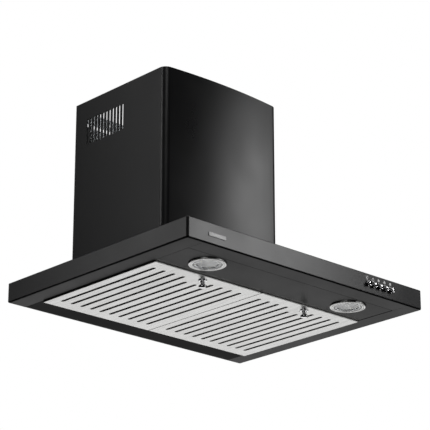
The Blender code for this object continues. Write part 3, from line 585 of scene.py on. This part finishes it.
for label in ("left", "right"):
    low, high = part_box(f"filter_{label}_frame")
    centre_x = (low.x + high.x) / 2
    slots = []
    for index in range(slot_count):
        x = centre_x + slot_shift + (index - (slot_count - 1) / 2) * slot_pitch
        short = index in (slot_count // 2 - 1, slot_count // 2)
        slots.append((x, short_slot_front if short else slot_front))

    pan = block(f"filter_{label}_pan", low, (high.x, pan_rear, high.z))
    edit(pan)
    pick_faces(pan, lambda c, n: n.z > 0.9)
    bpy.ops.mesh.delete(type="FACE")
    pick_edges(pan, lambda a, b: not near(a.z, b.z))
    bevel_picked(pan_corner, 4)
    pick_edges(pan, lambda a, b: near(a.z, low.z) and near(b.z, low.z))
    bevel_picked(pan_round, 3)
    done()
    apply(pan, "SOLIDIFY", thickness=sheet, offset=-1, use_even_offset=True)
    lips = [
        rounded_block(
            f"lip_{index}", (x - slot_width / 2 - slot_lip, front - slot_lip, low.z + sheet / 2),
            (x + slot_width / 2 + slot_lip, slot_rear + slot_lip, low.z + lip_top), 2, slot_width / 2,
        )
        for index, (x, front) in enumerate(slots)
    ]
    unite(pan, lips)
    unite(pan, [
        rounded_block("tab", (x - tab_half, tab_front, tab_z[0]),
                      (x + tab_half, high.y, tab_z[1]), 2, tab_round, 3)
        for x in (centre_x - tab_x, centre_x + tab_x)
    ])
    openings = [
        rounded_block(f"slot_{index}", (x - slot_width / 2, front, low.z - filter_reach),
                      (x + slot_width / 2, slot_rear, low.z + slot_top), 2, slot_round)
        for index, (x, front) in enumerate(slots)
    ]
    knob_low, knob_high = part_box(f"latch_{label}_knob")
    bolt_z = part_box(f"latch_{label}_bolt")[0].z
    knob_y = (knob_low.y + knob_high.y) / 2
    openings.append(rounded_block(
        "stem_slot", (centre_x - stem_half, knob_y - stem_half, low.z - filter_reach),
        (centre_x + stem_half, knob_y + stem_half + latch_travel, low.z + stem_top), 2, stem_round,
    ))
    openings.append(block(
        "bolt_slot", (centre_x - bolt_half, low.y - filter_reach, bolt_z - bolt_clearance),
        (centre_x + bolt_half, low.y + bolt_depth, high.z + filter_reach),
    ))
    carve(pan, openings)
    apply(pan, "BEVEL", width=pan_edge, segments=2, limit_method="ANGLE", angle_limit=crease)
    place(pan, f"filter_{label}", "stainless", brushed, f"filter_{label}_frame")

    low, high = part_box(f"filter_{label}_baffles")
    cap_edges = [x + side * cap_half for x, _ in slots for side in (-1, 1)]
    gap_front, gap_rear = low.y + cap_margin, high.y - cap_margin
    caps = block(f"filter_{label}_caps", low, high)
    edit(caps)
    pick_faces(caps, lambda c, n: n.z < 0.9)
    bpy.ops.mesh.delete(type="FACE")
    for x in cap_edges[1:-1]:
        pick_faces(caps, lambda c, n: True)
        bpy.ops.mesh.bisect(plane_co=(x, 0, 0), plane_no=(1, 0, 0))
    for y in (gap_front, gap_rear):
        pick_faces(caps, lambda c, n: True)
        bpy.ops.mesh.bisect(plane_co=(0, y, 0), plane_no=(0, 1, 0))
    pick_faces(caps, lambda c, n: gap_front < c.y < gap_rear and any(
        cap_edges[index] < c.x < cap_edges[index + 1] for index in range(1, len(cap_edges) - 1, 2)
    ))
    bpy.ops.mesh.delete(type="FACE")
    pick_edges(caps, lambda a, b: near(a.x, b.x) and gap_front - MM < (a.y + b.y) / 2 < gap_rear + MM and any(
        near(a.x, x) for x in cap_edges
    ) and low.y + MM < min(a.y, b.y) and max(a.y, b.y) < high.y - MM, open_only=True)
    push_picked(z=low.z - high.z)
    done()
    apply(caps, "SOLIDIFY", thickness=sheet, offset=-1, use_even_offset=True)
    carve(caps, [block("latch_room", (centre_x - latch_room, low.y - filter_reach, low.z - filter_reach),
                       (centre_x + latch_room, latch_room_end, high.z + filter_reach))])
    apply(caps, "BEVEL", width=cap_edge, segments=2, limit_method="ANGLE", angle_limit=crease)
    place(caps, f"filter_{label}", "stainless", shade_darkened_stainless, f"filter_{label}_baffles")

    face = Vector((centre_x, knob_y, knob_high.z - knob_shank))
    knob = turn(f"latch_{label}_pull", [
        (0, -14.5), (2.6, -14.45), (5.0, -14.1), (6.6, -13.3), (7.4, -12.2), (7.6, -11.2), (7.5, -10.4),
        (6.8, -9.4), (5.2, -8.4), (4.2, -7.7), (3.7, -6.6), (3.5, -5.2), (3.7, -3.9), (4.2, -3.0),
        (4.8, -2.5), (5.0, -1.9), (6.0, -1.75), (7.2, -1.6), (7.8, -1.2), (8.0, -0.7), (8.0, 0),
        (2.6, 0), (2.6, 8.1), (0, 8.1),
    ], face, steps=48, closed=False)
    place(knob, f"latch_{label}", "chrome", bright_chrome, f"latch_{label}_knob")

    low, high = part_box(f"latch_{label}_spring")
    bpy.ops.object.select_all(action="DESELECT")
    middle = (low + high) / 2
    bpy.ops.mesh.primitive_circle_add(
        vertices=spring_sides, radius=spring_wire,
        location=(high.x - spring_wire, low.y + spring_wire, middle.z),
    )
    spring = bpy.context.object
    spring.name = spring.data.name = f"latch_{label}_coil"
    bpy.ops.object.transform_apply(location=True, rotation=True, scale=True)
    spring.data.transform(Matrix.Translation(-middle))
    apply(spring, "SCREW", axis="Y", angle=math.tau, iterations=spring_coils, steps=spring_steps,
          render_steps=spring_steps, screw_offset=(high.y - low.y - 2 * spring_wire) / spring_coils)
    spring.data.transform(Matrix.Translation(middle))
    edit(spring)
    pick_edges(spring, lambda a, b: True, open_only=True)
    bpy.ops.mesh.fill_holes(sides=0)
    bpy.ops.mesh.select_all(action="SELECT")
    bpy.ops.mesh.normals_make_consistent(inside=False)
    done()
    place(spring, f"filter_{label}", "spring_steel", spring_strip, f"latch_{label}_spring")
    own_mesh(spring)
    repaint(spring_strip, f"latch_{label}_bolt")
    repaint(zinc, f"latch_{label}_guide")

# ------------------------------------------------------------------------------------------ badge
# A small blank plate of brushed aluminium with rounded corners, glued to the front by an adhesive pad.
badge_metal = finish("brushed_badge_metal", (0.18, 0.18, 0.18), 0.42, 1.0)
vary_roughness(badge_metal, grain(badge_metal, 2200.0, (0.02, 1, 1)), 0.36, 0.50)
wear_edges(badge_metal, (0.32, 0.32, 0.32), 0.3 * MM)
bump(badge_metal, grain(badge_metal, 2200.0, (0.02, 1, 1)), 0.000008, 0.5)

low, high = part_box("badge_plate")
badge_round, badge_border, badge_step = 1.5 * MM, 0.5 * MM, 0.15 * MM
badge = rounded_block("badge", low, high, 1, badge_round)
edit(badge)
pick_faces(badge, lambda c, n: n.y < -0.9)
bpy.ops.mesh.inset(thickness=badge_border, depth=0)
bpy.ops.mesh.inset(thickness=badge_step, depth=-badge_step)
done()
place(badge, "hood", "badge_metal", badge_metal, "badge_plate")

# ------------------------------------------------------------------------------------------ buttons
# Five chromed push buttons work one switch bank, screwed behind the front wall. Each cap has a shallow dish
# and a groove round it. What each does is printed above it in pale grey ink: lamp, off, and three fan speeds.
ink = finish("printed_ink", (0.86, 0.86, 0.86), 0.45)
vary_roughness(ink, grain(ink, 900.0), 0.40, 0.55)
vary_colour(ink, grain(ink, 400.0), (0.80, 0.80, 0.80), (0.90, 0.90, 0.90))

front_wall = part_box("canopy_shell")[0].y
for label, centre in zip(button_names, button_centres):
    low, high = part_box(f"button_{label}")
    stand, reach = (low.y - front_wall) / MM, (high.y - front_wall) / MM
    cap = turn(f"button_{label}_cap", [
        (0, stand + 0.35), (2.4, stand + 0.25), (3.4, stand + 0.05), (3.9, stand), (4.4, stand + 0.15),
        (4.8, stand + 0.6), (5.0, stand + 1.3), (5.0, stand + 3.4), (4.75, stand + 3.6), (4.75, stand + 4.0),
        (5.0, stand + 4.2), (5.0, 2.2), (4.7, 2.5), (3.0, 2.5), (3.0, reach), (0, reach),
    ], (centre.x, front_wall, centre.z), axis=(0, 1, 0), steps=48, closed=False)
    place(cap, f"button_{label}", "chrome", bright_chrome, f"button_{label}")
repaint(moulded_black, "switch_bank")

print_depth = 0.06 * MM
icon_z = rim_z + 30 * MM


def ring_print(name, x, z, outer, inner, start=0.0, sweep=360.0):
    """Part of a flat printed ring on the front wall; millimetres, and degrees from straight right."""
    steps = max(4, round(sweep / 15))
    begin = math.radians(start)
    out = Vector((math.cos(begin), 0, math.sin(begin)))
    centre = Vector((x, front_wall, z))
    piece = traced(name, [centre + out * inner * MM, centre + out * outer * MM])
    bpy.ops.object.mode_set(mode="EDIT")
    bpy.ops.mesh.select_all(action="SELECT")
    bpy.ops.mesh.spin(steps=steps, angle=-math.radians(sweep), center=centre, axis=(0, 1, 0))
    bpy.ops.mesh.select_all(action="SELECT")
    bpy.ops.mesh.remove_doubles(threshold=1e-6)
    bpy.ops.mesh.extrude_region_move(TRANSFORM_OT_translate={"value": (0, -print_depth, 0)})
    bpy.ops.mesh.select_all(action="SELECT")
    bpy.ops.mesh.normals_make_consistent(inside=False)
    bpy.ops.object.mode_set(mode="OBJECT")
    return piece


def bar_print(name, x, z, length, width, angle=0.0, offset=0.0):
    """A flat printed bar, its middle offset from a point along its own direction; millimetres and degrees."""
    bpy.ops.object.select_all(action="DESELECT")
    turned = math.radians(angle)
    along, up = math.cos(turned) * offset * MM, math.sin(turned) * offset * MM
    middle = Vector((x + along, front_wall - print_depth / 2, z + up))
    bpy.ops.mesh.primitive_cube_add(size=1, location=middle, rotation=(0, -turned, 0))
    piece = bpy.context.object
    piece.name = piece.data.name = name
    piece.scale = (length * MM, print_depth, width * MM)
    bpy.ops.object.transform_apply(location=True, rotation=True, scale=True)
    return piece


def fan_print(x, speed):
    """A three-bladed fan over one, two or three dots."""
    z = icon_z + 1.2 * MM
    marks = [ring_print("hub", x, z, 0.9, 0.0)]
    for turn_of in range(3):
        angle = 90 + 120 * turn_of
        spot = Vector((math.cos(math.radians(angle)), 0, math.sin(math.radians(angle)))) * 2.3 * MM
        marks.append(ring_print("blade", x + spot.x, z + spot.z, 1.7, 0.0, angle - 60, 230))
    for dot in range(speed):
        marks.append(ring_print("dot", x + (dot - (speed - 1) / 2) * 2.2 * MM, icon_z - 4.2 * MM, 0.8, 0.0))
    return marks


def lamp_print(x):
    """A bulb with rays above it."""
    marks = [ring_print("bulb", x, icon_z, 2.5, 1.5, -50, 280)]
    marks.append(bar_print("cap", x, icon_z - 2.8 * MM, 2.2, 0.8))
    marks.append(bar_print("cap_end", x, icon_z - 4.1 * MM, 1.4, 0.8))
    for ray in range(5):
        marks.append(bar_print("ray", x, icon_z, 1.4, 0.7, ray * 45, 4.0))
    return marks


def off_print(x):
    """An open ring with an upright bar in its gap."""
    return [ring_print("ring", x, icon_z - 0.4 * MM, 3.4, 2.4, 120, 300),
            bar_print("stroke", x, icon_z + 1.7 * MM, 3.4, 1.0, 90)]


printed = {"lamp": lamp_print, "off": off_print}
for speed, label in enumerate(("low", "medium", "high"), 1):
    printed[label] = lambda x, speed=speed: fan_print(x, speed)
for label, centre in zip(button_names, button_centres):
    mark = joined(printed[label](centre.x))
    mark.name = mark.data.name = f"print_{label}"
    place(mark, "hood", "badge_metal", ink)

# ------------------------------------------------------------------------------------------ blower
# The blower box is folded from galvanised sheet and screwed to the canopy's top by its flange. Inside, a
# moulded black scroll holds the wheel. The motor sits in the wheel's hub on three arms. A terminal box, the
# run capacitor and the lamps' driver are fixed to the box.
dark_steel = finish("zinc_plated_steel", (0.50, 0.50, 0.48), 0.28, 1.0)
vary_roughness(dark_steel, grain(dark_steel, 200.0), 0.22, 0.42)
bump(dark_steel, grain(dark_steel, 800.0), 0.00001, 0.4)

motor_steel = finish("drawn_motor_steel", (0.38, 0.38, 0.39), 0.40, 1.0)
vary_colour(motor_steel, grain(motor_steel, 30.0, detail=6.0), (0.33, 0.33, 0.34), (0.44, 0.44, 0.45))
vary_roughness(motor_steel, grain(motor_steel, 800.0, (1, 0.05, 0.05)), 0.32, 0.52)
bump(motor_steel, grain(motor_steel, 800.0, (1, 0.05, 0.05)), 0.00001, 0.4)

moulded_white = finish("moulded_white_plastic", (0.74, 0.74, 0.71), 0.42)
vary_colour(moulded_white, grain(moulded_white, 25.0, detail=5.0), (0.71, 0.71, 0.67), (0.77, 0.77, 0.75))
vary_roughness(moulded_white, grain(moulded_white, 60.0, detail=5.0), 0.36, 0.52)
bump(moulded_white, grain(moulded_white, 1400.0, detail=3.0), 0.00003, 0.4)

repaint(zinc, "blower_box", "motor_bracket")
repaint(dark_steel, *[f"blower_screw_{index}" for index in (1, 2, 3, 4)], "motor_shaft", "damper_pin")
repaint(motor_steel, "motor")
repaint(moulded_black, "scroll_housing", "inlet_ring", "impeller")
repaint(moulded_black, "terminal_box", "terminal_box_lid", "cable_gland")
repaint(moulded_white, "run_capacitor", "lamp_driver")

# ------------------------------------------------------------------------------------------ outlet
# The duct collar is moulded in black plastic, with a wide flange on the box and a bead for the duct's clip.
# Inside it two half-round flaps on one steel pin fall shut when the blower stops.
low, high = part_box("outlet_collar")
collar_centre = Vector(((low.x + high.x) / 2, (low.y + high.y) / 2, low.z))
pin_radius = 1.5 * MM
flap_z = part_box("damper_pin")[0].z + pin_radius
seat = (flap_z - low.z) / MM
collar = turn("duct_collar", [
    (71.2, 0), (82.2, 0), (82.6, 0.4), (82.6, 1.6), (82.2, 2.0), (77.6, 2.0), (76.8, 2.4), (76.4, 3.2),
    (76.4, 41.0), (76.9, 41.6), (77.2, 42.4), (77.2, 43.4), (76.9, 44.2), (76.4, 44.8), (76.4, 49.4),
    (75.8, 50), (75.0, 50), (74.6, 49.6), (74.6, seat - 2.6), (71.2, seat - 4.4),
], collar_centre, steps=96)
place(collar, "hood", "black_plastic", moulded_black, "outlet_collar")
repaint(moulded_black, "damper_flap_front", "damper_flap_rear")

# ------------------------------------------------------------------------------------------ back plate
# The plate behind the blower is galvanised sheet with its sides turned forward. Three pressed beads stiffen
# it, and the hood hangs on two wall screws by its keyholes.
low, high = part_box("back_plate")
plate_fold = 1.4 * MM
bead_x, bead_half, bead_z = 40 * MM, 9 * MM, (22 * MM, 96 * MM)
cross_x, cross_z = (-64 * MM, 64 * MM), (-31 * MM, -15 * MM)
bead_slope, bead_depth = 2.2 * MM, 1.6 * MM
keyhole_x, head_hole, head_z = 85 * MM, 5.0 * MM, -6 * MM
neck_hole, neck_low, neck_high = 2.6 * MM, -7 * MM, 8 * MM
neck_round = 0.98 * neck_hole
head_y, neck_y = (-6 * MM, 4 * MM), (-5 * MM, 5 * MM)
plate = block("hanging_plate", low, high)
edit(plate)
pick_faces(plate, lambda c, n: n.y < -0.9 or abs(n.z) > 0.9)
bpy.ops.mesh.delete(type="FACE")
pick_edges(plate, lambda a, b: near(a.x, b.x) and near(a.y, high.y) and near(b.y, high.y))
bevel_picked(plate_fold, 4)
for across, up in (
    ((-bead_x - bead_half, -bead_x + bead_half), bead_z),
    ((bead_x - bead_half, bead_x + bead_half), bead_z),
    (cross_x, cross_z),
):
    outline_in(plate, lambda c, n: n.y > 0.99, x=across, z=up)
    bpy.ops.mesh.inset(thickness=bead_slope, depth=-bead_depth)
done()
apply(plate, "SOLIDIFY", thickness=sheet, offset=-1, use_even_offset=True)
heads = []
for x in (-keyhole_x, keyhole_x):
    heads.append(rod("head", head_hole, (x, head_y[0], head_z), (x, head_y[1], head_z), 48))
    carve(plate, [rounded_block("neck", (x - neck_hole, neck_y[0], neck_low),
                                (x + neck_hole, neck_y[1], neck_high + neck_hole), 1, neck_round, 8)])
carve(plate, heads)
place(plate, "hood", "galvanised", zinc, "back_plate")

# ------------------------------------------------------------------------------------------ chimney
# The chimney is one sheet folded round three sides, with its front bowed, its front corners rounded and
# narrow lips along the wall. Twelve slots are punched high in each side. A second sleeve slides up inside it
# to reach the ceiling, and a galvanised bracket on the wall holds it.
vent_count, vent_pitch, vent_width, first_vent = 12, 9.67 * MM, 4.8 * MM, -37.5 * MM
vent_z, vent_reach, vent_round = (52 * MM, 107 * MM), 4 * MM, 0.96 * vent_width / 2
corner_radius, bow_radius, fold_radius, lip_width = 16 * MM, 1230 * MM, 1.2 * MM, 12 * MM
sleeve_edge = 0.25 * MM


def bend(centre, radius, start, end, steps):
    """Points of an arc on plan, between two angles in radians."""
    return [
        Vector((centre[0] + radius * math.cos(angle), centre[1] + radius * math.sin(angle), 0))
        for angle in (start + (end - start) * step / steps for step in range(steps + 1))
    ]


def chimney_sleeve(name, node_name, inset, body):
    """One sheet, bent round the plan from lip to lip, its front slightly bowed between round corners."""
    low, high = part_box(node_name)
    corner, bow = corner_radius - inset, bow_radius - inset
    lean = math.asin((high.x - corner) / (bow - corner))
    corner_y = low.y + bow - (bow - corner) * math.cos(lean)
    down, right = 1.5 * math.pi, 2 * math.pi
    path = [Vector((low.x + lip_width, high.y, 0))]
    path += bend((low.x + fold_radius, high.y - fold_radius), fold_radius, math.pi / 2, math.pi, 4)
    path += bend((low.x + corner, corner_y), corner, math.pi, down - lean, 14)
    path += bend((0, low.y + bow), bow, down - lean, down + lean, 24)[1:-1]
    path += bend((high.x - corner, corner_y), corner, down + lean, right, 14)
    path += bend((high.x - fold_radius, high.y - fold_radius), fold_radius, 0, math.pi / 2, 4)
    path += [Vector((high.x - lip_width, high.y, 0))]
    sleeve = traced(name, [point + Vector((0, 0, low.z)) for point in path])
    bpy.ops.object.mode_set(mode="EDIT")
    bpy.ops.mesh.select_all(action="SELECT")
    bpy.ops.mesh.extrude_edges_move(TRANSFORM_OT_translate={"value": (0, 0, high.z - low.z)})
    bpy.ops.mesh.select_all(action="SELECT")
    bpy.ops.mesh.normals_make_consistent(inside=False)
    done()
    apply(sleeve, "SOLIDIFY", thickness=sheet, offset=-1, use_even_offset=True)
    vents = []
    for side in (-1, 1):
        for index in range(vent_count):
            y = first_vent - index * vent_pitch
            across = sorted((side * (high.x - vent_reach), side * (high.x + vent_reach)))
            vents.append(rounded_block("vent", (across[0], y - vent_width / 2, vent_z[0]),
                                       (across[1], y + vent_width / 2, vent_z[1]), 0, vent_round, 4))
    carve(sleeve, vents)
    apply(sleeve, "BEVEL", width=sleeve_edge, segments=2, limit_method="ANGLE", angle_limit=crease)
    place(sleeve, body, "black_paint", chimney_coat, node_name)
    return sleeve


chimney_coat = finish("black_chimney_coat", (0.012, 0.012, 0.013), 0.30, Specular_IOR_Level=0.5)
vary_roughness(chimney_coat, grain(chimney_coat, 7.0, detail=6.0), 0.27, 0.34)
wear_edges(chimney_coat, (0.045, 0.045, 0.047))
bump(chimney_coat, grain(chimney_coat, 900.0, detail=2.0), 0.00002, 0.5)

sleeve_step = 1.7 * MM
outer_sleeve = chimney_sleeve("chimney_sleeve", "chimney_cover", 0.0, "hood")
inner_sleeve = chimney_sleeve("chimney_inner_sleeve", "chimney_extension", sleeve_step, "chimney_extension")
repaint(zinc, "chimney_wall_bracket")

# ------------------------------------------------------------------------------------------ studio
# A pale floor with a light of its own, soft white panels that each reach some of the pieces, as flags and
# screens would allow, and a camera low on the left that looks up at the front corner.
floor_z, floor_size = -1.95, 40.0
bpy.ops.object.select_all(action="DESELECT")
bpy.ops.mesh.primitive_plane_add(size=floor_size, location=(0, 0, floor_z))
floor = bpy.context.object
floor.name = floor.data.name = "studio_floor"
pale = finish("studio_floor_paint", (0.80, 0.80, 0.80), 0.60)
vary_roughness(pale, grain(pale, 3.0), 0.55, 0.65)
floor.data.materials.append(pale)
floor.visible_glossy = floor.visible_diffuse = False
floor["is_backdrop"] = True

world = bpy.data.worlds.new("studio_air")
bpy.context.scene.world = world
world.use_nodes = True
tree = world.node_tree
air = tree.nodes["Background"]
backdrop = tree.nodes.new("ShaderNodeBackground")
backdrop.inputs["Color"].default_value = (1, 1, 1, 1)
backdrop.inputs["Strength"].default_value = 1.0
seen = tree.nodes.new("ShaderNodeLightPath")
choice = tree.nodes.new("ShaderNodeMixShader")
direction = tree.nodes.new("ShaderNodeTexCoord")
split = tree.nodes.new("ShaderNodeSeparateXYZ")
ramp = tree.nodes.new("ShaderNodeMapRange")
front_air, back_air = 0.03, 0.12
ramp.inputs["From Min"].default_value = -0.6
ramp.inputs["From Max"].default_value = 0.6
ramp.inputs["To Min"].default_value = front_air
ramp.inputs["To Max"].default_value = back_air
tree.links.new(direction.outputs["Generated"], split.inputs["Vector"])
tree.links.new(split.outputs["Y"], ramp.inputs["Value"])
tree.links.new(ramp.outputs["Result"], air.inputs["Strength"])
tree.links.new(seen.outputs["Is Camera Ray"], choice.inputs["Fac"])
tree.links.new(air.outputs["Background"], choice.inputs[1])
tree.links.new(backdrop.outputs["Background"], choice.inputs[2])
tree.links.new(choice.outputs["Shader"], tree.nodes["World Output"].inputs["Surface"])
bpy.context.scene.view_settings.view_transform = "Standard"


def softbox(name, place_at, aim, size, radiance):
    """A rectangular light at a place, turned to a point; radiance is how bright its face looks."""
    made = bpy.data.lights.new(name, "AREA")
    made.shape = "RECTANGLE"
    made.size, made.size_y = size
    made.energy = radiance * math.pi * size[0] * size[1]
    holder = bpy.data.objects.new(name, made)
    bpy.context.scene.collection.objects.link(holder)
    holder.location = place_at
    holder.rotation_euler = (Vector(aim) - Vector(place_at)).to_track_quat("-Z", "Y").to_euler()
    return holder


def shine_on(light, pieces):
    """Lets a light reach these pieces alone, as a flag in front of it would."""
    lit = bpy.data.collections.new(f"{light.name}_reach")
    for piece in pieces:
        lit.objects.link(piece)
    light.light_linking.receiver_collection = lit


coated = [canopy, panel, flange]
sleeves = [outer_sleeve, inner_sleeve]
meshes = [piece for piece in bpy.context.scene.objects if piece.type == "MESH"]
button_caps = [piece for piece in meshes if piece.name.endswith("_cap")]
others = [piece for piece in meshes if piece not in coated + sleeves + button_caps]
low_behind, underside, chimney_front = (2.0, 2.2, -1.5), (0, -0.2, -0.3), (0.1, -0.27, 0)
front_edge, canopy_middle = (0, -0.5, -0.28), (0, -0.3, -0.3)
wide = (2.6, 2.6)

for name, place_at, aim, size, radiance, pieces in (
    ("canopy_light", (0.75, -1.52, 0.23), front_edge, (0.42, 0.8), 7.0, coated + others),
    ("chimney_light", (1.47, -1.42, 0.46), chimney_front, (0.45, 0.8), 5.0, sleeves),
    ("corner_light", (-2.0, -0.05, 0.7), (-0.15, -0.26, -0.05), (0.25, 1.2), 4.0, sleeves),
    ("sleeve_light", (-1.75, 1.05, 1.0), (-0.2, -0.2, 0), (1.0, 2.0), 0.7, sleeves),
    ("button_light", (1.35, -1.50, 0.10), (0.18, -0.5, -0.28), (0.14, 0.14), 14.0, button_caps),
    ("under_light", low_behind, underside, wide, 0.42, [canopy, panel]),
    ("rear_light", low_behind, underside, wide, 0.12, [flange]),
    ("side_light", (-1.95, 0.95, 0.45), (-0.2, -0.2, -0.1), (1.0, 1.0), 1.9, coated),
    ("steel_light", low_behind, underside, wide, 1.1, others + button_caps),
    ("bounce_light", (1.4, -2.0, -1.2), canopy_middle, (1.6, 1.6), 1.2, others + button_caps),
    ("left_bounce_light", (-1.6, -1.2, -0.9), canopy_middle, (0.9, 0.9), 1.2, others + button_caps),
    ("key_light", (-1.2, -2.2, 1.9), (0, -0.2, -0.1), (1.2, 1.2), 2.5, None),
    ("floor_light", (0.0, 0.0, 2.6), (0, 0, -2.0), (3.0, 3.0), 1.0, None),
):
    light = softbox(name, place_at, aim, size, radiance)
    if pieces:
        shine_on(light, pieces)

wash_strength, wash_spread = 3.0, 0.8
wash = bpy.data.lights.new("floor_wash", "SUN")
wash.energy, wash.angle = wash_strength, wash_spread
floor_wash = bpy.data.objects.new("floor_wash", wash)
bpy.context.scene.collection.objects.link(floor_wash)
shine_on(floor_wash, [floor])

focal_length, camera_rise, camera_turn = 161.98, 20.53, -42.98  # millimetres, degrees above level, degrees
camera_data = bpy.data.cameras.new("camera")
camera_data.sensor_width = 36.0
camera_data.lens = focal_length
camera_data.clip_end = 100.0
camera = bpy.data.objects.new("camera", camera_data)
bpy.context.scene.collection.objects.link(camera)
camera.location = (-2.369, -2.789, -1.416)
camera.rotation_euler = (math.radians(90 + camera_rise), 0, math.radians(camera_turn))
bpy.context.scene.camera = camera

low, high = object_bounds()
